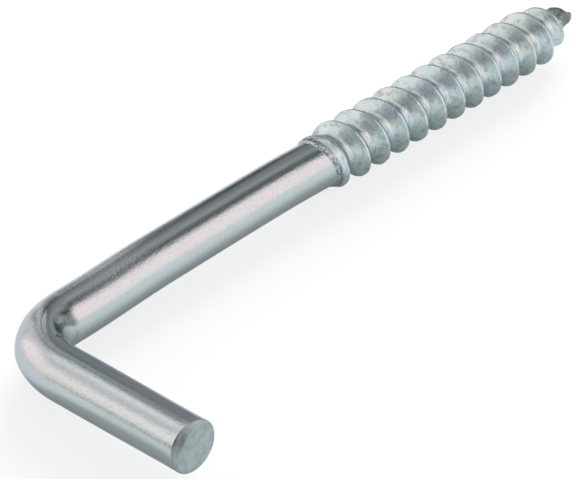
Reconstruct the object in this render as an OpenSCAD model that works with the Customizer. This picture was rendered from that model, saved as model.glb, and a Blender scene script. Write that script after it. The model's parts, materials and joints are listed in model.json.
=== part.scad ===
// Square-bend screw hook: one length of round steel wire with a rolled wood-screw
// thread and gimlet point at one end, and a leg bent through a right angle at the other.
//
// Frame: the hook lies flat, +Y runs along the screw towards its point, +X along the
// leg towards its cut end and +Z up. The origin is on the screw's axis, in the plane
// where the rolled thread begins, which is the face of the wall once the hook is home.

/* [Wire] */
// Diameter of the drawn wire, which is the diameter of the shank and the leg
wire_d = 6.2; // [4:0.1:8]
// Length from the outer side of the leg to the point of the screw
overall_length = 101.6; // [80:0.2:140]
// Length of the leg from the outer side of the shank to the cut end
leg_length = 30; // [22:1:60]
// Radius rounded onto the edge of the cut end
end_round = 0.5; // [0.2:0.1:1]

/* [Bend] */
// Radius of the outer side of the bend
bend_outer_r = 11.2; // [9:0.1:14]
// Radius of the fold on the inner side of the bend
bend_inner_r = 2.6; // [0.6:0.1:3.2]
// How far the squeezed metal beside the fold stands out
bend_swell = 0.35; // [0:0.05:0.6]

/* [Thread] */
// Length from the beginning of the thread to the point
thread_length = 50.6; // [35:0.1:60]
// Outer diameter of the thread
thread_d = 8; // [7.2:0.1:10]
// Diameter at the bottom of the thread's groove
root_d = 5.2; // [3.4:0.1:6]
// Advance of the thread in one turn
pitch = 3.6; // [2.5:0.1:5]
// Width of the thread's crest
crest_w = 0.25; // [0.1:0.05:0.5]
// Axial width of each hollow flank, from the crest to the bottom of the groove
flank_w = 1.4; // [0.8:0.05:1.5]
// Distance along the screw from the thread's beginning to the beginning of its crest
crest_start = 0.8; // [0.4:0.1:2]
// Turns over which the crest rises to its full height
crest_runout = 1; // [0.5:0.1:2]
// Angle about the screw's axis at which the crest begins, from the leg's direction
crest_angle = 150; // [0:1:359]
// Turns of crest before the groove begins to sink
groove_start = 0.3; // [0.2:0.05:1.5]
// Turns over which the groove sinks to its full depth
groove_runout = 0.5; // [0.3:0.1:1.5]

/* [Lip] */
// Height of the lip raised on the shank by the thread rolls
lip_h = 0.25; // [0.1:0.05:0.4]
// Width of the lip along the shank
lip_w = 0.6; // [0.3:0.05:1]
// How much further along the screw the lip lies on one side than on the other
lip_lean = 1.6; // [0:0.1:2]
// Angle about the screw's axis at which the lip comes nearest to the leg
lip_angle = 100; // [0:1:359]

/* [Point] */
// Length of the taper at the point
point_length = 8.4; // [5:0.1:10]
// Diameter of the blunt nose
nose_d = 1.3; // [1:0.1:2]
// Length of the nose's rounded end
nose_length = 0.5; // [0.2:0.05:0.6]

/* [Hidden] */
$fn = 96;

// The bent and threaded stretches lie this far inside the wire's skin where they join it
seat = 0.02;
// How far those stretches run inside the plain wire
overlap = 1.5;
// Sides of the bent and threaded stretches
sides = 36;
// Sections along the bend
bend_steps = 20;
// The bend is a quarter turn, and its fold lies half way round
bend_turn = 90;
fold_turn = bend_turn / 2;
// Keeps the swell close to the fold: a higher power is a shorter swell
swell_power = 4;
// Shapes the crest's rise: below 1 it rises fast at first
rise_power = 0.4;
// Shapes the flanks: above 1 they are hollow
flank_power = 1.5;
// Shapes the crest's fall over the point
fall_power = 0.7;
// Least axial length of a facet of the thread where it meets the lip or the nose
ring_gap = 0.1;

wire_r = wire_d / 2;
inset_r = wire_r - seat;
thread_r = thread_d / 2;
root_r = root_d / 2;
rolled_r = wire_r + lip_h / 2;
nose_r = nose_d / 2;

// Places along Y, measured from the thread's beginning
point_y = thread_length;
leg_y = thread_length - overall_length + wire_r;
taper_y = point_y - point_length;

// Centre of the bend's outer arc, measured from the corner where the two axes meet
bend_c = bend_outer_r - wire_r;

// ---- the bend ----

// Distance from the bend's centre to its inner side: two straight sides and a fold between them
side_gap = bend_c - inset_r;
fold_gap = side_gap - bend_inner_r;
function inner_side(turn) =
    let (off = abs(turn - fold_turn), reach = fold_gap * sqrt(2))
    fold_turn - off < atan(fold_gap / side_gap)
        ? side_gap / cos(fold_turn - off)
        : reach * cos(off) + sqrt(bend_inner_r^2 - (reach * sin(off))^2);

// The swell is greatest beside the fold, half way round from the inner side to the top
function swell(turn, a) =
    cos(a) > 0 ? bend_swell * sin(2 * turn)^swell_power * abs(sin(2 * a)) : 0;

// One section of the bend: a half circle outside and a flattened half ellipse inside
function bend_section(turn) = [
    for (i = [0 : sides - 1])
        let (a = 360 * i / sides,
             half = cos(a) > 0 ? bend_c - inner_side(turn) : inset_r,
             reach = bend_c - half * cos(a),
             height = (inset_r + swell(turn, a)) * sin(a))
        [bend_c - reach * cos(turn), bend_c - reach * sin(turn), height]
];

// The bend runs straight on inside the shank and inside the leg
function shift(points, by) = [for (p = points) p + by];
bend_rings = concat(
    [shift(bend_section(0), [0, overlap, 0])],
    [for (s = [0 : bend_steps]) bend_section(bend_turn * s / bend_steps)],
    [shift(bend_section(bend_turn), [overlap, 0, 0])]
);

// Closed skin through rings that all have as many points
module skin(rings) {
    count = len(rings[0]);
    last = len(rings) - 1;
    polyhedron(
        points = [for (ring = rings) each ring],
        faces = concat(
            [[for (i = [0 : count - 1]) i]],
            [for (s = [0 : last - 1], i = [0 : count - 1])
                let (next = (i + 1) % count)
                each [[s * count + i, (s + 1) * count + next, s * count + next],
                      [s * count + i, (s + 1) * count + i, (s + 1) * count + next]]],
            [[for (i = [0 : count - 1]) last * count + count - 1 - i]]
        )
    );
}

module bend() {
    translate([0, leg_y, 0]) skin(bend_rings);
}

// ---- shank and leg ----

// The shank runs on under the lip until the lip covers it all round
module shank() {
    shank_y = leg_y + bend_c;
    translate([0, shank_y, 0]) rotate([-90, 0, 0])
        cylinder(r = wire_r, h = lip_lean + ring_gap - shank_y);
}

// Straight part of the leg, with the edge of its cut end rounded
module leg() {
    run = leg_length - wire_r - bend_c;
    translate([bend_c, leg_y, 0]) rotate([0, 90, 0])
        rotate_extrude() {
            square([wire_r - end_round, run]);
            square([wire_r, run - end_round]);
            translate([wire_r - end_round, run - end_round])
                intersection() {
                    circle(r = end_round);
                    square(end_round);
                }
        }
}

// ---- thread and point ----

// Stations of the thread's section, in turns from the middle of the crest: the crest's
// edges, two down each hollow flank, and two that part the groove's bottom in three
half_crest = crest_w / pitch / 2;
flank_end = half_crest + flank_w / pitch;
flank_mid = (half_crest + flank_end) / 2;
flank_low = (flank_mid + flank_end) / 2;
flank_high = (half_crest + flank_low) / 2;
groove_third = (1 - 2 * flank_low) / 3;
stations = [
    -flank_low, -flank_high, -half_crest, half_crest, flank_high, flank_low,
    flank_low + groove_third, flank_low + 2 * groove_third
];
rows = len(stations);

// Height of the section at a station, from 0 in the groove to 1 on the crest
function section_height(u) =
    let (off = min(abs(u), 1 - abs(u)))
    off <= half_crest ? 1 : pow(max(0, (flank_end - off) / (flank_end - half_crest)), flank_power);

// Turns are counted from the crest's beginning. The helix ends just short of the nose
function crest_y(turns) = crest_start + pitch * turns;
nose_y = point_y - nose_length;
steps = floor((nose_y - ring_gap - crest_y(-flank_low)) / pitch * sides) - sides;

// Radii of the groove, at a place along the screw, and of the crest
function clamp01(x) = max(0, min(1, x));
function taper_at(y) = clamp01((y - taper_y) / (nose_y - taper_y));
function groove_r(y) =
    let (sunk = clamp01((y - crest_y(groove_start)) / (pitch * groove_runout)),
         full = rolled_r + (root_r - rolled_r) * sunk)
    full + (nose_r - full) * taper_at(y);
function crest_r(turns) =
    let (risen = rolled_r + (thread_r - rolled_r) * pow(clamp01(turns / crest_runout), rise_power))
    nose_r + (risen - nose_r) * pow(1 - taper_at(crest_y(turns)), fall_power);

function angle_at(turns) = crest_angle - 360 * turns;
function about_axis(r, turns, y) = [r * cos(angle_at(turns)), y, r * sin(angle_at(turns))];

// The lip lies in a plane that leans
function lip_y(turns) = lip_lean / 2 * (1 - cos(angle_at(turns) - lip_angle));

// Point of the thread at a step along the helix and a station of its section. The first
// turn is held clear of the lip
function thread_point(step, row) =
    let (turns = step / sides,
         lip_end = lip_y(turns) + lip_w,
         y = max(crest_y(turns + stations[row]), lip_end + ring_gap * (row + 1)),
         base = groove_r(y),
         r = base + (max(crest_r(turns), base) - base) * section_height(stations[row]))
    about_axis(r, turns, y);

// Rings round the axis: flat ones, and ones that lean with the lip
function ring(r, y, from_step = 0) = [
    for (i = [0 : sides - 1]) about_axis(r, (from_step + i) / sides, y)
];
function lip_ring(r, past) = [
    for (i = [0 : sides - 1]) about_axis(r, i / sides, lip_y(i / sides) + past)
];

// Rings that carry the thread out of the shank: inside it, at its end, and over the lip
lip_rings = [
    ring(inset_r, -overlap), lip_ring(inset_r, ring_gap / 2),
    lip_ring(wire_r + lip_h, lip_w / 3), lip_ring(rolled_r, lip_w)
];
lip_points = [for (r = lip_rings) each r];
lip_last = (len(lip_rings) - 1) * sides;
helix_points = [for (k = [0 : steps], j = [0 : rows - 1]) thread_point(k, j)];
// One more turn of the first row closes the last turn
top_points = [for (k = [steps + 1 : steps + sides]) thread_point(k, 0)];
nose_points = concat(ring(nose_r, nose_y, steps), [[0, point_y, 0]]);

// Index of each point in the joined list
function lip_at(i) = lip_last + i % sides;
function helix_at(k, j) =
    j == rows ? helix_at(k + sides, 0)
    : k <= steps ? len(lip_points) + k * rows + j
    : len(lip_points) + len(helix_points) + k - steps - 1;
first_nose = len(lip_points) + len(helix_points) + len(top_points);
function nose_at(i) = first_nose + i % sides;

lip_faces = [
    for (s = [0 : len(lip_rings) - 2], i = [0 : sides - 1])
        let (next = (i + 1) % sides)
        each [[s * sides + i, (s + 1) * sides + next, s * sides + next],
              [s * sides + i, (s + 1) * sides + i, (s + 1) * sides + next]]
];
helix_faces = [
    for (k = [0 : steps - 1], j = [0 : rows - 1])
        each [[helix_at(k, j), helix_at(k + 1, j + 1), helix_at(k + 1, j)],
              [helix_at(k, j), helix_at(k, j + 1), helix_at(k + 1, j + 1)]]
];
// Facets between the lip and the first turn, and a fan up the side of the first section
start_faces = concat(
    [for (i = [0 : sides - 2])
        each [[lip_at(i), helix_at(i + 1, 0), lip_at(i + 1)],
              [lip_at(i), helix_at(i, 0), helix_at(i + 1, 0)]]],
    [[helix_at(sides - 1, 0), lip_at(0), lip_at(sides - 1)],
     [helix_at(sides - 1, 0), helix_at(0, 0), lip_at(0)]],
    [for (j = [0 : rows - 1]) [helix_at(sides - 1, 0), helix_at(0, j + 1), helix_at(0, j)]]
);
// The same between the last turn and the nose
end_faces = concat(
    [for (i = [1 : sides - 1])
        each [[helix_at(steps + i, 0), nose_at(i + 1), helix_at(steps + i + 1, 0)],
              [helix_at(steps + i, 0), nose_at(i), nose_at(i + 1)]]],
    [[helix_at(steps + 1, 0), nose_at(0), nose_at(1)],
     [helix_at(steps + 1, 0), helix_at(steps, rows), nose_at(0)]],
    [for (j = [0 : rows - 1]) [helix_at(steps + 1, 0), helix_at(steps, j), helix_at(steps, j + 1)]]
);
nose_faces = [for (i = [0 : sides - 1]) [nose_at(i), first_nose + sides, nose_at(i + 1)]];

module thread() {
    polyhedron(
        points = concat(lip_points, helix_points, top_points, nose_points),
        faces = concat(
            [[for (i = [0 : sides - 1]) i]],
            lip_faces, start_faces, helix_faces, end_faces, nose_faces
        )
    );
}

module screw_hook() {
    color("silver") union() {
        shank();
        bend();
        leg();
        thread();
    }
}

screw_hook();
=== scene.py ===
"""A zinc-plated screw hook on a pale studio floor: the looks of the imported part, in metres.

The hook is one piece of wire, so it is one mesh: rings along the leg, the bend and the shank,
a grid that follows the helix of the thread, and the nose. The sizes come first, then the mesh,
the zinc, the studio and the camera.
"""

import json
from math import atan2, cos, exp, pi, radians, sin, sqrt

import bmesh
import bpy
import numpy as np
from mathutils import Matrix, Quaternion, Vector, noise


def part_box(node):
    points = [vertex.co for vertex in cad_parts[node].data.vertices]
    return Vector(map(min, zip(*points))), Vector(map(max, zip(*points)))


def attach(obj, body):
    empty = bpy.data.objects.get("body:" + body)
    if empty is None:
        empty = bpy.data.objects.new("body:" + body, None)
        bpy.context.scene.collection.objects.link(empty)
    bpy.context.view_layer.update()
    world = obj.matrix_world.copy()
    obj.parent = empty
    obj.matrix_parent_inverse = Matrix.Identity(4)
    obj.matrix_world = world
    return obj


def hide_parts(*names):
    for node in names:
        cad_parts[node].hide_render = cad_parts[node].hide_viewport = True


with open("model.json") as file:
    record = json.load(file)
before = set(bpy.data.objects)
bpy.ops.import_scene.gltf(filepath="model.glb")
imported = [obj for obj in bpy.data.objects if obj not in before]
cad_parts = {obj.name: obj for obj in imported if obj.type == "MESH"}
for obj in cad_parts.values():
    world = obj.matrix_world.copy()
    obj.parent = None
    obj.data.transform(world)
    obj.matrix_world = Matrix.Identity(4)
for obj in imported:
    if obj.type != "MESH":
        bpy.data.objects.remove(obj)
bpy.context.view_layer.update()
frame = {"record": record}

MM = 0.001
NODE = "screw_hook"
SLOT = "zinc_plate"


# ---- sizes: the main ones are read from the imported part, and the finest are the scene's own ----

mounts = {mount["name"]: mount for mount in frame["record"]["mounts"]}
low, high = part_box(NODE)

SKIN_GAP = 0.01 * MM  # how far the mesh keeps inside the solid's round surfaces
WIRE_R = mounts["leg"]["dims"]["r_mm"] * MM - SKIN_GAP
LEG_Y = mounts["leg"]["pos_m"][1]
LEG_END_X = mounts["leg_end"]["pos_m"][0]
POINT_Y = mounts["thread"]["dims"]["length_mm"] * MM
CREST_R = high.z - SKIN_GAP
FLOOR_Z = low.z

# Cut end: the shears draw the wire in a little and flatten its edge on one side
END_DRAW = 0.08 * MM
DRAW_LENGTH = 16 * MM
END_CRISP = 0.15 * MM
END_ROUND = 1.6 * MM
END_DEEP = 0.5 * MM
ROUND_ANGLE = radians(136)
FACET_POWER = 3
# how closely the painted dark reflection keeps to the flattened side of the edge
PAINTED_REFLECTION_POWER = 2.5

# Over that edge, in radians from the face to the side of the wire: where the dark smudge starts, is
# full, fades and ends, and where the bare cut fades out. The smudge is a painted dark reflection,
# laid on in the dark crushed colour
PAINTED_REFLECTION_PLACES = (0.05, 0.4, 1.35, 1.57)
CUT_FADE = (1.2, 1.57)

# Bend: outer arc, fold on the inner side and the squeezed metal beside it
BEND_OUTER_R = 11.2 * MM
BEND_C = BEND_OUTER_R - WIRE_R
FOLD_R = 2.6 * MM
SWELL = 0.35 * MM
SWELL_POWER = 4

# Crushed metal in the fold, where a turn is the angle round the bend from the shank to the leg.
# It blends in over this share of the wire's inner side
FOLD_BLEND = 0.25

# Pad: smooth and raised, with a rim
PAD_TURN = radians(35)
PAD_Z = -0.1 * MM
PAD_LONG = 1.6 * MM
PAD_HIGH = 1.5 * MM
PAD_RISE = 0.16 * MM
PAD_MATT = 0.55
PAD_EDGE = (0.75, 1.05)
PAD_SLOPE = (0.5, 1.15)
RIM_AT = 0.85
RIM_W = 0.12
RIM_H = 0.025 * MM

# Patch: small and bright, above the pad
PATCH_TURN = radians(36)
PATCH_Z = 2.3 * MM
PATCH_LONG = 1.1 * MM
PATCH_HIGH = 0.42 * MM
PATCH_MATT = 0.5
PATCH_EDGE = (0.6, 1.1)

# Crease: a slanting groove on the leg's side of the pad, painted dark along it as painted shade
CREASE_TURN = radians(55)
CREASE_SLANT = 0.35
CREASE_W = 0.22 * MM
CREASE_DEPTH = 0.2 * MM
CREASE_FADE_Z = 2.6 * MM
CREASE_END_Z = 3 * MM

# Mottled, dented metal round them, painted dark: partly crushed metal and partly a painted dark
# reflection. Where it starts, is full, fades and ends
MOTTLE_TURNS = np.radians([11, 20, 50, 68])
MOTTLE_HEIGHTS = np.array([0.5, 1.2, 2.4, 2.9]) * MM
DENT_DEPTH = 0.008 * MM
DENT_SIZE = 0.45 * MM

# Bow of the shank, which rises a little from the bend to the thread and falls back within it
BOW = 0.26 * MM
BOW_Y = -7 * MM
BOW_BACK = 30 * MM
BOW_ON = 11.5 * MM

# Dip of the shank's end into the bend, and the bulge on the bend's outer side after it
DIP = 0.4 * MM
DIP_Y = -26.5 * MM
DIP_TURN = radians(5)
DIP_END_TURN = radians(45)
BULGE = 0.2 * MM
BULGE_TURN = radians(55)
BULGE_SPREAD = radians(14)

# Lip that the thread rolls raise on the shank, with a ragged, chipped edge
LIP_H = 0.25 * MM
LIP_W = 0.6 * MM
LIP_LEAN = 1.6 * MM
LIP_ANGLE = radians(100)
LIP_FALL = 0.5
LIP_FALL_W = 2.5 * LIP_W
LIP_CRUSHED = 0.75
RAGGED = 0.16 * MM
RAGGED_SIZE = 0.5 * MM
CHIP_H = 0.14 * MM
CHIP_SIZE = 0.28 * MM
CHIP_SHARE = 0.3
CHIPPED_RISE = 0.02

# Thread
ROOT_R = 2.6 * MM
PITCH = 3.6 * MM
CREST_W = 0.25 * MM
FLANK_W = 1.4 * MM
CREST_START = 0.8 * MM
CREST_RUNOUT = 1
CREST_ANGLE = radians(150)
GROOVE_START = 0.3
GROOVE_RUNOUT = 0.5
RISE_POWER = 0.4
FLANK_POWER = 1.5
FALL_POWER = 0.7
WEAR = 0.05 * MM
WEAR_SIZE = 1.7 * MM
WEAR_SHARE = 0.4
NICK_SIZE = 0.4 * MM
NICK_DEPTH = 0.4

# Point, with a nose that the dies pinched off
POINT_LENGTH = 8.4 * MM
NOSE_R = 0.65 * MM
NOSE_LENGTH = 0.5 * MM
NOSE_Y = POINT_Y - NOSE_LENGTH
TAPER_Y = POINT_Y - POINT_LENGTH
PINCH = 0.28
PINCH_LENGTH = 2.6 * MM
PINCH_TWIST = 1.4
PINCH_ANGLE = 0.8
CRUSHED_FROM_Y = NOSE_Y - 1.8 * PINCH_LENGTH
CRUSHED_FULL_Y = NOSE_Y - 0.8 * PINCH_LENGTH

# Fineness of the mesh, and the rings over the flat of the cut end by share of its radius
SIDES = 120
RING_STEP = 0.6 * MM
FLAT_SHARES = (0.02, 0.2, 0.4, 0.6, 0.8, 0.94, 1)
ROUND_STEPS = 10
BEND_STEPS = 84
LIP_STEPS = 12
FLANK_ROWS = 7
FLANK_SPREAD = 1.5
GROOVE_ROWS = 6
NOSE_STEPS = 6

# Lengths along the wire, and places across the thread in turns from the middle of its crest
LEG_RUN = LEG_END_X - BEND_C
BEND_END = LEG_RUN + pi / 2 * BEND_C
SHANK_Y = LEG_Y + BEND_C
HALF_CREST = CREST_W / PITCH / 2
FLANK_END = HALF_CREST + FLANK_W / PITCH
FIRST_STATION = -(HALF_CREST + 3 * FLANK_END) / 4
HELIX_Y = CREST_START + PITCH * FIRST_STATION

ANGLES = CREST_ANGLE - 2 * pi * np.arange(SIDES) / SIDES


# ---- the mesh ----


def smooth(x, start, end):
    """0 before start, 1 after end, and an even rise between them."""
    t = np.clip((x - start) / (end - start), 0, 1)
    return t * t * (3 - 2 * t)


def hill(x, start, full, fading, end):
    """0 outside start and end, 1 from full to fading, and even slopes between them."""
    return smooth(x, start, full) * (1 - smooth(x, fading, end))


def rough(points, size):
    """Even noise of about -1 to 1 at each point, with lumps of the given size."""
    flat = np.reshape(points, (-1, 3)) / size
    return np.array([noise.noise(point) for point in flat]).reshape(np.shape(points)[:-1])


def leg_ring(x, r):
    """Ring round the leg's axis. An angle of 0 points to the bend's inner side."""
    return np.stack([x + 0 * ANGLES, LEG_Y + r * np.cos(ANGLES), r * np.sin(ANGLES)], 1)


def shank_ring(y, r, angles=ANGLES):
    """Ring round the screw's axis."""
    return np.stack([r * np.cos(angles), y + 0 * angles, r * np.sin(angles)], 1)


def zones(satin=0, cut=0, crushed_and_painted_shade=0):
    """What the surface is at each point round a ring: satin thread, cut face, or crushed metal and
    painted shade.
    """
    return np.stack([satin + 0 * ANGLES, cut + 0 * ANGLES, crushed_and_painted_shade + 0 * ANGLES], 1)


def bowed(points):
    """The points lifted by the shank's bow."""
    past = points[..., 1] - BOW_Y
    share = np.clip(np.where(past > 0, past / BOW_ON, -past / BOW_BACK), 0, 1)
    lifted = points.copy()
    lifted[..., 2] += BOW * (1 - share**2) ** 2
    return lifted


def end_rings():
    """The flat of the cut end and its rounded edge: points, distance along the wire, and zones."""
    facet = ((1 + np.cos(ANGLES - ROUND_ANGLE)) / 2) ** FACET_POWER
    rounding = END_CRISP + (END_ROUND - END_CRISP) * facet
    depth = END_CRISP + (END_DEEP - END_CRISP) * facet
    end_r = WIRE_R - END_DRAW
    rings = []
    for share in FLAT_SHARES:
        rings.append((leg_ring(LEG_END_X, share * (end_r - rounding)), 0, zones(cut=1)))
    for t in np.linspace(0, pi / 2, ROUND_STEPS + 1)[1:]:
        ring = leg_ring(LEG_END_X - depth * (1 - cos(t)), end_r - rounding * (1 - sin(t)))
        # painted dark reflection: the flattened side of the edge takes the dark crushed colour
        painted_dark_reflection = facet**PAINTED_REFLECTION_POWER * hill(t, *PAINTED_REFLECTION_PLACES)
        zone = zones(cut=1 - smooth(t, *CUT_FADE), crushed_and_painted_shade=painted_dark_reflection)
        rings.append((ring, END_ROUND * t, zone))
    return rings


def leg_rings():
    """The straight leg, drawn in a little towards its cut end."""
    rings = []
    for s in np.linspace(END_DEEP, LEG_RUN, int(LEG_RUN / RING_STEP))[1:-1]:
        drawn = END_DRAW * (1 - smooth(s, 0, DRAW_LENGTH))
        rings.append((leg_ring(LEG_END_X - s, WIRE_R - drawn), s, zones()))
    return rings


def inner_side(turn):
    """Distance from the bend's centre to its inner side: two straight sides and a fold."""
    side = BEND_C - WIRE_R
    fold = side - FOLD_R
    off = abs(turn - pi / 4)
    if pi / 4 - off < atan2(fold, side):
        return side / cos(pi / 4 - off)
    reach = fold * sqrt(2)
    return reach * cos(off) + sqrt(FOLD_R**2 - (reach * sin(off)) ** 2)


def creased(turn, inner, z):
    """Share of the crease's depth at each height, which is also its share of painted shade."""
    past = (turn - CREASE_TURN) * inner - CREASE_SLANT * (z - PAD_Z)
    return np.exp(-((past / CREASE_W) ** 2)) * hill(z, 0, PAD_HIGH, CREASE_FADE_Z, CREASE_END_Z)


def patched(turn, inner, z):
    """Share of the bright patch at each height."""
    along = (turn - PATCH_TURN) * inner
    return 1 - smooth(np.hypot(along / PATCH_LONG, (z - PATCH_Z) / PATCH_HIGH), *PATCH_EDGE)


def crushing(turn, inner):
    """Crushed metal round one ring of the fold: its depth, its mottled share (partly painted dark
    reflection, and painted shade in the crease) and its matt share.
    """
    inside = smooth(np.cos(ANGLES), 0, FOLD_BLEND)
    along = (turn - PAD_TURN) * inner + 0 * ANGLES
    z = WIRE_R * np.sin(ANGLES)
    to_pad = np.hypot(along / PAD_LONG, (z - PAD_Z) / PAD_HIGH)
    pad = 1 - smooth(to_pad, *PAD_EDGE)
    rim = np.exp(-(((to_pad - RIM_AT) / RIM_W) ** 2))
    raised = PAD_RISE * (1 - smooth(to_pad, *PAD_SLOPE)) + RIM_H * rim
    patch = patched(turn, inner, z)
    crease = creased(turn, inner, z)
    near = hill(turn, *MOTTLE_TURNS) * hill(z, *MOTTLE_HEIGHTS)
    # mottled band painted dark: partly crushed metal, partly a painted dark reflection
    mottled_and_painted_shade = near * (1 - pad) * (1 - patch)
    lumps = rough(np.stack([along, z, 0 * z], 1), DENT_SIZE)
    depth = CREASE_DEPTH * crease - raised + DENT_DEPTH * lumps * mottled_and_painted_shade
    matt = np.maximum(PAD_MATT * pad, PATCH_MATT * patch)
    # the crease is painted dark too: painted shade in the crease
    return inside * depth, inside * np.maximum(mottled_and_painted_shade, crease), inside * matt


def bend_ring(turn):
    """Section of the bend: a half circle outside and a flattened, crushed half ellipse inside."""
    inside = np.cos(ANGLES) > 0
    inner = inner_side(turn)
    depth, mottled_and_painted_shade, matt = crushing(turn, inner)
    bulge = BULGE * exp(-(((turn - BULGE_TURN) / BULGE_SPREAD) ** 2))
    half = np.where(inside, BEND_C - inner, WIRE_R + bulge)
    reach = BEND_C - (half - depth) * np.cos(ANGLES)
    swell = inside * SWELL * sin(2 * turn) ** SWELL_POWER * np.abs(np.sin(2 * ANGLES))
    dip = DIP * (1 - smooth(turn, DIP_TURN, DIP_END_TURN))
    x = BEND_C - reach * cos(turn)
    y = LEG_Y + BEND_C - reach * sin(turn)
    z = (WIRE_R + swell - depth) * np.sin(ANGLES) - dip
    return np.stack([x, y, z], 1), zones(crushed_and_painted_shade=mottled_and_painted_shade, cut=matt)


def bend_rings():
    """The bend, from the leg to the shank."""
    rings = []
    for turn in np.linspace(pi / 2, 0, BEND_STEPS):
        ring, zone = bend_ring(turn)
        rings.append((ring, LEG_RUN + (pi / 2 - turn) * BEND_C, zone))
    return rings


def shank_rings():
    """The shank, which dips towards the bend. Its rings lean more and more, to meet the lip."""
    rings = []
    for y in np.linspace(SHANK_Y, -LIP_W / 2, int(-SHANK_Y / RING_STEP))[1:]:
        lean = lip_y(ANGLES) * smooth(y, SHANK_Y / 2, 0)
        dip = DIP * (1 - smooth(y, SHANK_Y, DIP_Y))
        ring = shank_ring(y + lean, WIRE_R) - [0, 0, dip]
        rings.append((ring, BEND_END + y - SHANK_Y, zones()))
    return rings


def lip_y(angle):
    """Where the lip begins along the screw. It lies further along on one side than on the other."""
    return LIP_LEAN / 2 * (1 - np.cos(angle - LIP_ANGLE))


def lip_radius(past, angle):
    """Radius of the wire and the lip, by distance past the lip's beginning. Its edge is ragged."""
    round_wire = np.stack([np.cos(angle), np.sin(angle), 0 * angle + 0 * past], -1) * WIRE_R
    along = np.stack([0 * angle, 0 * angle, past + 0 * angle], -1)
    edge = RAGGED * rough(round_wire, RAGGED_SIZE)
    rise = smooth(past + edge, -LIP_W / 3, LIP_W / 3)
    rise = rise * (1 - LIP_FALL * smooth(past, LIP_W / 2, LIP_FALL_W))
    at_edge = 1 - smooth(past, LIP_W / 2, LIP_W)
    chips = CHIP_H * at_edge * np.clip(CHIP_SHARE + rough(round_wire + along, CHIP_SIZE), 0, 1)
    return WIRE_R + np.maximum(LIP_H * rise - chips * (rise > CHIPPED_RISE), 0)


def lip_rings():
    """The lip, from the bright wire to its top, where the thread's grid begins."""
    rings = []
    for y in np.linspace(-LIP_W / 2, LIP_W, LIP_STEPS + 1)[1:]:
        satin = smooth(y, -LIP_W / 3, 0)
        ring = shank_ring(y + lip_y(ANGLES), lip_radius(y, ANGLES))
        rings.append((ring, BEND_END + y - SHANK_Y, zones(satin=satin, crushed_and_painted_shade=LIP_CRUSHED * satin)))
    return rings


def core_radius(y, angle):
    """Radius between the crests: wire, lip, groove and taper to the nose."""
    groove_y = np.maximum(CREST_START + PITCH * GROOVE_START, LIP_W + lip_y(angle))
    sunk = smooth(y, groove_y, groove_y + PITCH * GROOVE_RUNOUT)
    lip = np.where(y < CREST_START + PITCH, lip_radius(y - lip_y(angle), angle), WIRE_R)
    full = lip * (1 - sunk) + ROOT_R * sunk
    taper = np.clip((y - TAPER_Y) / (NOSE_Y - TAPER_Y), 0, 1)
    return full + (NOSE_R - full) * taper


def crest_radius(turns):
    """Radius of the crest a number of turns after the thread's beginning."""
    low_r = WIRE_R + LIP_H / 2
    risen = low_r + (CREST_R - low_r) * np.clip(turns / CREST_RUNOUT, 0, 1) ** RISE_POWER
    taper = np.clip((CREST_START + PITCH * turns - TAPER_Y) / (NOSE_Y - TAPER_Y), 0, 1)
    return (NOSE_R + (risen - NOSE_R) * (1 - taper) ** FALL_POWER) * (turns >= 0)


def thread_stations():
    """Places across one pitch, in turns from the middle of the crest, closest at the crest."""
    shares = (np.arange(1, FLANK_ROWS + 1) / FLANK_ROWS) ** FLANK_SPREAD
    down = HALF_CREST + (FLANK_END - HALF_CREST) * shares
    groove = np.linspace(FLANK_END, 1 - FLANK_END, GROOVE_ROWS + 2)[1:-1]
    crest = HALF_CREST * np.array([-1, -0.5, 0, 0.5, 1])
    stations = np.concatenate([-down[::-1], crest, down, groove])
    stations = np.where(stations < FIRST_STATION, stations + 1, stations)
    return np.sort(np.append(stations, [FIRST_STATION, FIRST_STATION + 1]))


def section_height(station):
    """Height of the thread's section, from 0 in the groove to 1 on the crest."""
    off = np.minimum(np.abs(station), 1 - np.abs(station))
    flank = np.clip((FLANK_END - off) / (FLANK_END - HALF_CREST), 0, 1) ** FLANK_POWER
    return np.where(off <= HALF_CREST, 1, flank)


def crest_wear(place):
    """How far the crests have worn down at each place."""
    nicks = NICK_DEPTH * rough(place, NICK_SIZE)
    return WEAR * np.clip(WEAR_SHARE + rough(place, WEAR_SIZE) + nicks, 0, 1)


def pinched(y, angle):
    """Share of the radius left where the dies pinched the point off, twisted and lobed."""
    near = smooth(y, NOSE_Y - PINCH_LENGTH, NOSE_Y)
    lobes = 0.5 + 0.5 * np.cos(2 * angle + PINCH_TWIST * y / MM + PINCH_ANGLE)
    return 1 - PINCH * near * lobes


def thread_grid():
    """Points on the helix by step round the screw and station, kept from the lip to the nose."""
    last = int((NOSE_Y - HELIX_Y) / PITCH * SIDES) + 2
    steps = np.arange(-SIDES, last)[:, None]
    stations = thread_stations()[None, :]
    turns = steps / SIDES
    angle = CREST_ANGLE - 2 * pi * turns + 0 * stations
    first_y = LIP_W + lip_y(angle)
    y = np.clip(HELIX_Y + PITCH * (turns + stations - FIRST_STATION), first_y, NOSE_Y)
    held = (y <= first_y) | (y >= NOSE_Y)
    core = core_radius(y, angle)
    rise = np.maximum(crest_radius(turns + (stations > 0.5)) - core, 0)
    wear = crest_wear(np.stack([np.cos(angle) * CREST_R, y, np.sin(angle) * CREST_R], 2))
    height = section_height(stations)
    r = core + np.where(held, 0, rise * height - np.minimum(wear, rise) * height**2)
    r = r * np.where(y >= NOSE_Y - PINCH_LENGTH, pinched(y, angle), 1)
    return np.stack([r * np.cos(angle), y, r * np.sin(angle)], 2)


def nose_rings():
    """The round nose, from the end of the thread's grid almost to the tip."""
    rings = []
    for t in np.linspace(0, pi / 2, NOSE_STEPS + 1)[:-1]:
        y = NOSE_Y + NOSE_LENGTH * sin(t)
        rings.append(shank_ring(y, NOSE_R * cos(t) * pinched(NOSE_Y, ANGLES)))
    return rings


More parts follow.
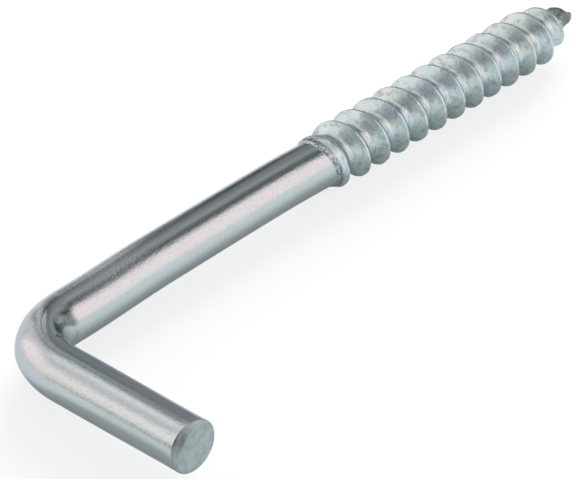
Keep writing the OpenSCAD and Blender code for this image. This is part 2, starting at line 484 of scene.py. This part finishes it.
class Skin:
    """Vertices and faces gathered from grids. Points at one place share a vertex, so grids join.

    Each vertex also has its place on the straightened wire and its zones, for the material.
    """

    def __init__(self):
        self.places = {}
        self.straight = []
        self.zones = []
        self.faces = []

    def vertex(self, point, straight, zone):
        """Number of the vertex at a point, which is added if it is new."""
        place = tuple(round(float(c) / MM, 5) for c in point)
        if place not in self.places:
            self.places[place] = len(self.places)
            self.straight.append(straight)
            self.zones.append(zone)
        return self.places[place]

    def row(self, points, straight, zone):
        """Numbers of the vertices along a row of points."""
        return [self.vertex(*corner) for corner in zip(points, straight, zone)]

    def add_face(self, corners):
        """Adds a face, unless its corners fall together."""
        corners = list(dict.fromkeys(corners))
        if len(corners) > 2:
            self.faces.append(corners)

    def add_grid(self, points, straight, zone, closed):
        """Joins rows of points. In a closed grid, the last point of a row meets the first."""
        at = [self.row(*line) for line in zip(points, straight, zone)]
        rows, columns = points.shape[:2]
        for r in range(rows - 1):
            for c in range(columns if closed else columns - 1):
                after = (c + 1) % columns
                self.add_face((at[r][c], at[r][after], at[r + 1][after], at[r + 1][c]))

    def add_cap(self, ring, straight, zone, middle):
        """Closes a ring with a fan to its middle."""
        at = self.row(ring, straight, zone)
        centre = self.vertex(middle, straight.mean(0), zone[0])
        for i, corner in enumerate(at):
            self.add_face((corner, at[(i + 1) % len(at)], centre))

    def to_object(self, name):
        """The mesh as an object in the scene, with the attributes straight and zone."""
        bm = bmesh.new()
        straight_layer = bm.verts.layers.float_vector.new("straight")
        zone_layer = bm.verts.layers.float_vector.new("zone")
        for place, straight, zone in zip(self.places, self.straight, self.zones):
            vertex = bm.verts.new(Vector(place) * MM)
            vertex[straight_layer] = straight
            vertex[zone_layer] = zone
        bm.verts.ensure_lookup_table()
        for corners in self.faces:
            bm.faces.new([bm.verts[i] for i in corners]).smooth = True
        bmesh.ops.recalc_face_normals(bm, faces=bm.faces)
        mesh = bpy.data.meshes.new(name)
        bm.to_mesh(mesh)
        bm.free()
        hook = bpy.data.objects.new(name, mesh)
        bpy.context.scene.collection.objects.link(hook)
        return hook


def add_wire(skin):
    """Adds the wire from its cut end to the lip, and returns its length."""
    ends = end_rings()
    rings = ends + leg_rings() + bend_rings() + shank_rings() + lip_rings()
    grid = np.stack([ring for ring, _, _ in rings])
    straight = np.stack([shank_ring(s, WIRE_R) for _, s, _ in rings])
    zone = np.stack([zone for _, _, zone in rings])
    straight[: len(ends)] = grid[: len(ends), :, [1, 0, 2]] - [LEG_Y, LEG_END_X, 0]
    skin.add_grid(bowed(grid), straight, zone, closed=True)
    skin.add_cap(grid[0], straight[0], zone[0], [LEG_END_X, LEG_Y, 0])
    return rings[-1][1]


def add_thread(skin, wire_length):
    """Adds the thread and the nose. The metal is more and more crushed towards the nose."""
    shift = np.array([0, wire_length - LIP_W, 0])
    thread = thread_grid()
    crushed_and_painted_shade = smooth(thread[:, :, 1], CRUSHED_FROM_Y, CRUSHED_FULL_Y)
    zone = np.stack([1 + 0 * crushed_and_painted_shade, 0 * crushed_and_painted_shade, crushed_and_painted_shade], 2)
    skin.add_grid(bowed(thread), thread + shift, zone, closed=False)
    nose = np.stack(nose_rings())
    zone = np.zeros(nose.shape) + [1, 0, 1]
    skin.add_grid(nose, nose + shift, zone, closed=True)
    skin.add_cap(nose[-1], nose[-1] + shift, zone[-1], [0, POINT_Y, 0])


def make_hook():
    skin = Skin()
    wire_length = add_wire(skin)
    add_thread(skin, wire_length)
    return skin.to_object("plated_screw_hook")


# ---- materials ----


class Nodes:
    """The node tree of a new material, with short ways to add nodes and join them."""

    def __init__(self, name):
        self.material = bpy.data.materials.new(name)
        self.material.use_nodes = True
        self.tree = self.material.node_tree
        self.tree.nodes.clear()

    def put(self, socket, value):
        """Joins another node's output to a socket, or sets the socket to a plain value."""
        if isinstance(value, bpy.types.NodeSocket):
            self.tree.links.new(value, socket)
        else:
            socket.default_value = value

    def add(self, kind, inputs=None, **settings):
        """A new node, with its settings and inputs by name."""
        node = self.tree.nodes.new("ShaderNode" + kind)
        for name, value in settings.items():
            setattr(node, name, value)
        for name, value in (inputs or {}).items():
            self.put(node.inputs[name], value)
        return node

    def math(self, operation, *values):
        node = self.add("Math", operation=operation)
        for socket, value in zip(node.inputs, values):
            self.put(socket, value)
        return node.outputs[0]

    def times(self, first, second):
        return self.math("MULTIPLY", first, second)

    def total(self, first, *others):
        for other in others:
            first = self.math("ADD", first, other)
        return first

    def blend(self, share, start, end):
        """A number between start and end."""
        node = self.add("Mix", data_type="FLOAT")
        for socket, value in zip(node.inputs[:1] + node.inputs[2:4], (share, start, end)):
            self.put(socket, value)
        return node.outputs[0]

    def tint(self, share, start, end):
        """A colour between start and end."""
        node = self.add("Mix", data_type="RGBA")
        for socket, value in zip(node.inputs[:1] + node.inputs[6:8], (share, start, end)):
            self.put(socket, value)
        return node.outputs[2]

    def step(self, value, start, end, low=0.0, high=1.0):
        """Low before start, high after end, and an even change between them."""
        node = self.add("MapRange", interpolation_type="SMOOTHSTEP")
        for socket, number in zip(node.inputs, (value, start, end, low, high)):
            self.put(socket, number)
        return node.outputs[0]

    def noise(self, vector, size, detail=3.0, roughness=0.5):
        """Noise with lumps of the given size, in millimetres along x, y and z."""
        per_metre = [1 / (part * MM) for part in size]
        scaled = self.add("VectorMath", {0: vector, 1: per_metre}, operation="MULTIPLY")
        place = scaled.outputs[0]
        inputs = {"Vector": place, "Scale": 1.0, "Detail": detail, "Roughness": roughness}
        return self.add("TexNoise", inputs).outputs["Fac"]


# Marks in the plating, in millimetres on the straightened wire, which lies along y
DRAWN_SIZE = (0.16, 6, 0.16)
GRAIN_SIZE = (0.28, 0.35, 0.28)
STREAK_SIZE = (0.6, 9, 0.6)
CLOUD_SIZE = (1.6, 2.4, 1.6)
MOTTLE_SIZE = (0.3, 0.3, 0.3)
PATCH_SIZE = (1.1, 0.5, 1.1)
SCRATCH_SIZE = (2.6, 0.2, 2.6)
SCRATCH_LEAN = 0.8

# Height of the marks and depth of the pits
DRAWN_H = 0.01 * MM
GRAIN_H = 0.028 * MM
SCRATCH_H = 0.017 * MM
PATCH_H = 0.07 * MM
CUT_PITS = 0.01 * MM
WIRE_PITS = 0.003 * MM
LIP_PITS = 0.13 * MM
NOSE_PITS = 0.05 * MM

# Roughness, from the least to the most
WIRE_ROUGH = (0.06, 0.12)
SATIN_ROUGH = (0.2, 0.32)
SCRATCH_ROUGH = 0.38
CUT_ROUGH = (0.45, 0.6)
CRUSHED_ROUGH = (0.18, 0.32)

# Colours. The edge tint is what the metal turns to at a glancing angle
EDGE_TINT = (0.76, 0.78, 0.81, 1)
WIRE_BLUE = (0.495, 0.573, 0.598, 1)
WIRE_GREY = (0.51, 0.573, 0.59, 1)
WIRE_GREEN = (0.49, 0.58, 0.575, 1)
WIRE_PINK = (0.53, 0.56, 0.60, 1)
WIRE_DARK = (0.41, 0.46, 0.48, 1)
SATIN_BLUE = (0.47, 0.60, 0.65, 1)
SATIN_GREEN = (0.52, 0.63, 0.61, 1)
SATIN_PALE = (0.63, 0.71, 0.71, 1)
SATIN_DARK = (0.25, 0.33, 0.35, 1)
CUT_DARK = (0.32, 0.40, 0.41, 1)
CUT_PALE = (0.40, 0.48, 0.49, 1)
# dark of crushed metal, also used for painted shade and painted dark reflection in the fold and at
# the cut end
CRUSHED_AND_SHADE_DARK = (0.14, 0.16, 0.16, 1)


class Zinc(Nodes):
    """Bright zinc: a drawn wire, a satin thread, a matt cut face and dark crushed metal, whose dark
    also serves as painted shade and painted dark reflection in the fold and on the cut end.
    """

    def __init__(self):
        super().__init__(SLOT)
        straight = self.add("Attribute", attribute_name="straight").outputs["Vector"]
        zone = self.add("Attribute", attribute_name="zone").outputs["Vector"]
        self.satin, self.cut, self.crushed_and_painted_shade = self.add("SeparateXYZ", {0: zone}).outputs
        self.drawn = self.noise(straight, DRAWN_SIZE)
        self.grain = self.noise(straight, GRAIN_SIZE, detail=4, roughness=0.65)
        self.streak = self.noise(straight, STREAK_SIZE)
        self.cloud = self.noise(straight, CLOUD_SIZE)
        self.mottle = self.noise(straight, MOTTLE_SIZE, roughness=0.6)
        self.patch = self.noise(straight, PATCH_SIZE, detail=4, roughness=0.6)
        self.scratch = self.noise(self.leaning(straight), SCRATCH_SIZE, roughness=0.6)

    def leaning(self, straight):
        """The place with y moved on by a share of the radius, so that the flanks are scratched."""
        x, y, z = self.add("SeparateXYZ", {0: straight}).outputs
        squares = self.total(self.math("POWER", x, 2.0), self.math("POWER", z, 2.0))
        across = self.total(y, self.times(self.math("SQRT", squares), SCRATCH_LEAN))
        return self.add("CombineXYZ", {"X": x, "Y": across, "Z": z}).outputs[0]

    def wire_colour(self):
        """Blue-grey with soft clouds, long streaks and a fine dark grain."""
        colour = self.tint(self.step(self.cloud, 0.35, 0.65), WIRE_BLUE, WIRE_GREY)
        colour = self.tint(self.step(self.streak, 0.45, 0.6, 0.0, 0.4), colour, WIRE_GREEN)
        colour = self.tint(self.step(self.streak, 0.4, 0.55, 0.4, 0.0), colour, WIRE_PINK)
        return self.tint(self.step(self.grain, 0.3, 0.6, 0.4, 0.0), colour, WIRE_DARK)

    def plated_colour(self):
        """The wire's colour, and on the thread blue and green with pale scratches and dark wear."""
        wire = self.wire_colour()
        thread = self.tint(self.step(self.cloud, 0.4, 0.6), SATIN_BLUE, SATIN_GREEN)
        colour = self.tint(self.satin, wire, thread)
        scratched = self.tint(self.satin, wire, SATIN_PALE)
        colour = self.tint(self.step(self.scratch, 0.3, 0.7, 0.0, 0.5), colour, scratched)
        worn = self.times(self.satin, self.step(self.patch, 0.5, 0.64, 0.0, 0.55))
        return self.tint(worn, colour, SATIN_DARK)

    def colour(self):
        """The plated colour, with a darker cut face and the dark mottling of crushed metal, which is
        also painted shade in the fold's crease and a painted dark reflection in the fold and on the
        cut end's edge.
        """
        cut_face = self.tint(self.step(self.patch, 0.4, 0.6), CUT_DARK, CUT_PALE)
        colour = self.tint(self.cut, self.plated_colour(), cut_face)
        least = self.blend(self.satin, 0.8, self.step(self.crushed_and_painted_shade, 0.8, 1.0, 0.0, 0.88))
        # dark mottling: crushed metal on the lip and the nose, painted shade and painted dark
        # reflection in the fold and on the cut end
        dark = self.times(self.crushed_and_painted_shade, self.step(self.mottle, 0.42, 0.58, 1.0, least))
        return self.tint(dark, colour, CRUSHED_AND_SHADE_DARK)

    def roughness(self):
        """Smooth on the wire, and rougher on the thread, on crushed metal and on the cut face."""
        wire = self.step(self.grain, 0.3, 0.7, *WIRE_ROUGH)
        patches = self.step(self.patch, 0.35, 0.65, *SATIN_ROUGH)
        thread = self.blend(self.step(self.scratch, 0.3, 0.7), patches, SCRATCH_ROUGH)
        plated = self.blend(self.satin, wire, thread)
        cut_face = self.step(self.mottle, 0.3, 0.7, *CUT_ROUGH)
        crushed_and_painted_shade = self.step(self.mottle, 0.3, 0.7, *CRUSHED_ROUGH)
        return self.blend(self.crushed_and_painted_shade, self.blend(self.cut, plated, cut_face), crushed_and_painted_shade)

    def pits(self):
        """Depth of the pits: slight on the cut face and in the fold, deep on the lip and the nose."""
        screw = self.step(self.crushed_and_painted_shade, 0.8, 1.0, LIP_PITS, NOSE_PITS)
        torn = self.times(self.crushed_and_painted_shade, self.blend(self.satin, WIRE_PITS, screw))
        return self.total(self.times(self.cut, CUT_PITS), torn)

    def height(self):
        """Height of the surface: drawn lines on the bright wire, and all the other marks."""
        bright = self.math("SUBTRACT", 1.0, self.math("MAXIMUM", self.satin, self.cut))
        return self.total(
            self.times(self.drawn, self.times(bright, DRAWN_H)),
            self.times(self.grain, GRAIN_H),
            self.times(self.scratch, self.times(self.satin, SCRATCH_H)),
            self.times(self.patch, self.times(self.satin, PATCH_H)),
            self.times(self.mottle, self.pits()),
        )

    def finished(self):
        """The material, with its shader."""
        bump = self.add("Bump", {"Height": self.height(), "Distance": 1.0, "Strength": 1.0})
        inputs = {
            "Base Color": self.colour(),
            "Metallic": 1.0,
            "Roughness": self.roughness(),
            "Specular Tint": EDGE_TINT,
            "Normal": bump.outputs[0],
        }
        shader = self.add("BsdfPrincipled", inputs)
        self.add("OutputMaterial", {"Surface": shader.outputs[0]})
        return self.material


# ---- studio: floor, sky and key lamp ----

FLOOR_SIZE = 12
FLOOR_PALE = (0.9, 0.9, 0.9, 1)
CAMERA_LIFT = 0.8
MIRROR_LIFT = 0.14
SKY = 0.55
KEY_AZIMUTH = -28
KEY_ELEVATION = 28
KEY_DISTANCE = 1.2
KEY_SIZE = 0.8
KEY_POWER = 22.0


def floor_material():
    """Pale and matt, with plain white mixed in: much for the camera, and a little for the metal."""
    n = Nodes("floor")
    path = n.add("LightPath").outputs
    mirrored = n.math("MAXIMUM", path["Is Glossy Ray"], path["Is Transmission Ray"])
    lift = n.total(n.times(path["Is Camera Ray"], CAMERA_LIFT), n.times(mirrored, MIRROR_LIFT))
    matt = n.add("BsdfDiffuse", {"Color": FLOOR_PALE})
    white = n.add("Emission", {"Strength": 1.0})
    both = n.add("MixShader", {0: lift, 1: matt.outputs[0], 2: white.outputs[0]})
    n.add("OutputMaterial", {"Surface": both.outputs[0]})
    return n.material


def add_floor():
    mesh = bpy.data.meshes.new("floor")
    size = FLOOR_SIZE
    corners = [(-size, -size, 0), (size, -size, 0), (size, size, 0), (-size, size, 0)]
    mesh.from_pydata(corners, [], [(0, 1, 2, 3)])
    floor = bpy.data.objects.new("floor", mesh)
    floor.location = (0, 0, FLOOR_Z)
    floor.data.materials.append(floor_material())
    bpy.context.scene.collection.objects.link(floor)


def add_world():
    world = bpy.data.worlds.new("studio")
    world.use_nodes = True
    background = world.node_tree.nodes["Background"]
    background.inputs["Color"].default_value = (1, 1, 1, 1)
    background.inputs["Strength"].default_value = SKY
    bpy.context.scene.world = world


def towards(azimuth, elevation):
    """Unit vector: azimuth 0 is +Y and 90 is +X, in degrees."""
    a, e = np.radians(azimuth), np.radians(elevation)
    return np.stack([np.sin(a) * np.cos(e), np.cos(a) * np.cos(e), np.sin(e)], -1)


def add_key():
    """Soft lamp behind the hook. It is kept out of the reflections, which show the dome."""
    lamp = bpy.data.lights.new("key", "AREA")
    lamp.shape = "DISK"
    lamp.size = KEY_SIZE
    lamp.energy = KEY_POWER
    key = bpy.data.objects.new("key", lamp)
    out_way = Vector(towards(KEY_AZIMUTH, KEY_ELEVATION))
    key.location = out_way * KEY_DISTANCE
    key.rotation_euler = out_way.to_track_quat("Z", "Y").to_euler()
    key.visible_glossy = False
    bpy.context.scene.collection.objects.link(key)


# ---- studio: the dome that the metal reflects ----

# Azimuth 0 is +Y and 90 is +X. What passes -Y hangs in two halves, up to 181 and from -181
DOME_R = 8
DOME_LOW = -6
BELOW = -20  # an elevation under the dome's lower edge, for what reaches down to the floor

# Glow of each wall, soft box and card
ROOM_GREY = (0.45, 0.44, 0.45)
FRONT_WALL = (0.58, 0.6, 0.64)
CEILING = (1.07, 0.95, 0.9)
CAMERA_CARD = (0.345, 0.34, 0.35)
LEFT_WALL = (0.86, 0.81, 0.81)
CREAM = (1.37, 1.17, 1.09)
WHITE = (1.32, 1.2, 1.19)
SIDE_WALL = (0.95, 0.88, 0.88)
SIDE_CARD = (0.54, 0.51, 0.52)
PLATEAU = (0.325, 0.33, 0.34)
DARK_EDGE = (0.095, 0.1, 0.11)
STRIPE = (0.49, 0.47, 0.48)
DARK = (0.16, 0.17, 0.17)
BACKDROP = (1.0, 0.93, 0.94)
PINK_WHITE = (1.5, 1.24, 1.22)
HORIZON_CARD = (0.32, 0.31, 0.31)
END_CARD = (1.42, 1.36, 1.4)


def faded(place, limits, edge):
    """1 between two limits and 0 outside them, with soft edges of the given width."""
    start, end = limits
    rise = smooth(place, start - edge / 2, start + edge / 2)
    return rise * (1 - smooth(place, end - edge / 2, end + edge / 2))


class Dome:
    """Soft boxes, cards and walls round the hook, as the metal sees them: a glow by direction."""

    def __init__(self):
        azimuths = np.arange(-180, 180, 1.0)
        elevations = np.arange(DOME_LOW, 91, 1.0)
        self.azimuth, self.elevation = np.meshgrid(azimuths, elevations)
        self.glow = np.zeros(self.azimuth.shape + (3,)) + ROOM_GREY

    def card(self, glow, azimuth, elevation, soft):
        """A patch between two azimuths and two elevations, with edges soft by so many degrees."""
        share = faded(self.azimuth, azimuth, soft[0]) * faded(self.elevation, elevation, soft[1])
        self.glow += share[:, :, None] * (np.array(glow) - self.glow)

    def to_mesh(self):
        """A grid of one point a degree, with the glow as its attribute."""
        points = towards(self.azimuth, self.elevation) * DOME_R
        rows, columns = self.azimuth.shape
        at = np.arange(rows * columns).reshape(rows, columns)
        after = np.roll(at, -1, 1)
        faces = np.stack([at[:-1], after[:-1], after[1:], at[1:]], 2).reshape(-1, 4)
        mesh = bpy.data.meshes.new("dome")
        mesh.from_pydata(points.reshape(-1, 3).tolist(), [], faces.tolist())
        glow = mesh.attributes.new("glow", "FLOAT_VECTOR", "POINT")
        glow.data.foreach_set("vector", self.glow.ravel())
        return mesh

    def add_to_stage(self):
        """Adds the dome, which only mirrors see: it lights nothing matt and casts no shadow."""
        dome = bpy.data.objects.new("dome", self.to_mesh())
        dome.data.materials.append(dome_material())
        dome.visible_camera = False
        dome.visible_diffuse = False
        dome.visible_shadow = False
        bpy.context.scene.collection.objects.link(dome)


def dome_material():
    n = Nodes("dome")
    glow = n.add("Attribute", attribute_name="glow").outputs["Vector"]
    light = n.add("Emission", {"Color": glow})
    n.add("OutputMaterial", {"Surface": light.outputs[0]})
    return n.material


def hang_room(dome):
    """Walls, ceiling and the darker place where the camera stands."""
    dome.card(FRONT_WALL, azimuth=(65, 181), elevation=(BELOW, 91), soft=(14, 10))
    dome.card(FRONT_WALL, azimuth=(-181, -150), elevation=(BELOW, 91), soft=(14, 10))
    dome.card(CEILING, azimuth=(-181, 181), elevation=(63, 100), soft=(0.1, 8))
    dome.card(CAMERA_CARD, azimuth=(110, 166), elevation=(2, 62), soft=(20, 20))
    dome.card(LEFT_WALL, azimuth=(-170, -100), elevation=(BELOW, 62), soft=(12, 10))


def hang_left_cards(dome):
    """Soft boxes and walls on the left, for the highlights of the leg and the bend."""
    dome.card(CREAM, azimuth=(-170, -116), elevation=(4, 35), soft=(10, 14))
    dome.card(WHITE, azimuth=(-113, -73), elevation=(49, 66), soft=(14, 5))
    dome.card(SIDE_WALL, azimuth=(-106, -59), elevation=(BELOW, 47), soft=(2, 6))
    dome.card(SIDE_WALL, azimuth=(-106, -54.5), elevation=(12, 47), soft=(2, 6))
    dome.card(PLATEAU, azimuth=(-78, -57), elevation=(39, 51.5), soft=(5, 4))
    dome.card(PINK_WHITE, azimuth=(-122, -91), elevation=(3, 38), soft=(8, 8))


def hang_dark_cards(dome):
    """Darker cards behind the hook, for the dark bands of the leg and the shank."""
    dome.card(PLATEAU, azimuth=(-69, -64), elevation=(BELOW, 42), soft=(2, 5))
    dome.card(PLATEAU, azimuth=(-54, -28), elevation=(BELOW, 46), soft=(2, 5))
    dome.card(DARK_EDGE, azimuth=(-55, -47.5), elevation=(BELOW, 37), soft=(3, 5))
    dome.card(DARK_EDGE, azimuth=(-59, -50), elevation=(BELOW, 11), soft=(2, 4))
    dome.card(STRIPE, azimuth=(-28, -7), elevation=(42, 64), soft=(8, 4))
    dome.card(SIDE_CARD, azimuth=(-16, 8), elevation=(8, 32), soft=(6, 8))
    dome.card(DARK, azimuth=(8, 27), elevation=(BELOW, 42), soft=(5, 4))
    dome.card(DARK, azimuth=(-7, 30), elevation=(38, 64), soft=(8, 6))


def hang_right_cards(dome):
    """A soft box and the wall under it on the right, for the shank's highlight and the thread."""
    dome.card(BACKDROP, azimuth=(15, 130), elevation=(BELOW, 6), soft=(8, 6))
    dome.card(PINK_WHITE, azimuth=(25, 120), elevation=(2, 48.5), soft=(11, 8))


def hang_front_cards(dome):
    """A soft box and a dark strip in front, for the leg's highlight by the cut and its dark line."""
    dome.card(END_CARD, azimuth=(-160, -138), elevation=(26, 56), soft=(4, 8))
    dome.card(HORIZON_CARD, azimuth=(-180, -145.7), elevation=(BELOW, 11), soft=(1.6, 8))


def add_dome():
    """Each card hangs in front of those before it."""
    dome = Dome()
    hang_room(dome)
    hang_left_cards(dome)
    hang_dark_cards(dome)
    hang_right_cards(dome)
    hang_front_cards(dome)
    dome.add_to_stage()


# ---- camera, at the photograph's viewing angle ----

VIEW_AIM = Vector((8.38, -13.45, 0)) * MM
VIEW_DISTANCE = 279.24 * MM
VIEW_AZIMUTH = 42.96
VIEW_ELEVATION = 33.16
VIEW_ROLL = -1.25
LENS = 153.55
SENSOR_WIDTH = 36
CLIP_START = 0.01


def add_camera():
    data = bpy.data.cameras.new("camera")
    data.lens = LENS
    data.sensor_width = SENSOR_WIDTH
    data.clip_start = CLIP_START
    camera = bpy.data.objects.new("camera", data)
    a, e = radians(VIEW_AZIMUTH), radians(VIEW_ELEVATION)
    back = Vector((sin(a) * cos(e), -cos(a) * cos(e), sin(e)))
    turn = back.to_track_quat("Z", "Y") @ Quaternion((0, 0, 1), radians(VIEW_ROLL))
    camera.matrix_world = Matrix.LocRotScale(VIEW_AIM + back * VIEW_DISTANCE, turn, None)
    bpy.context.scene.collection.objects.link(camera)
    bpy.context.scene.camera = camera


# ---- the scene ----

add_camera()
add_world()
add_key()
add_floor()
add_dome()

hook = make_hook()
hook.data.materials.append(Zinc().finished())
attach(hook, "root")
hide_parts(NODE)

bpy.context.scene.view_settings.view_transform = "Standard"
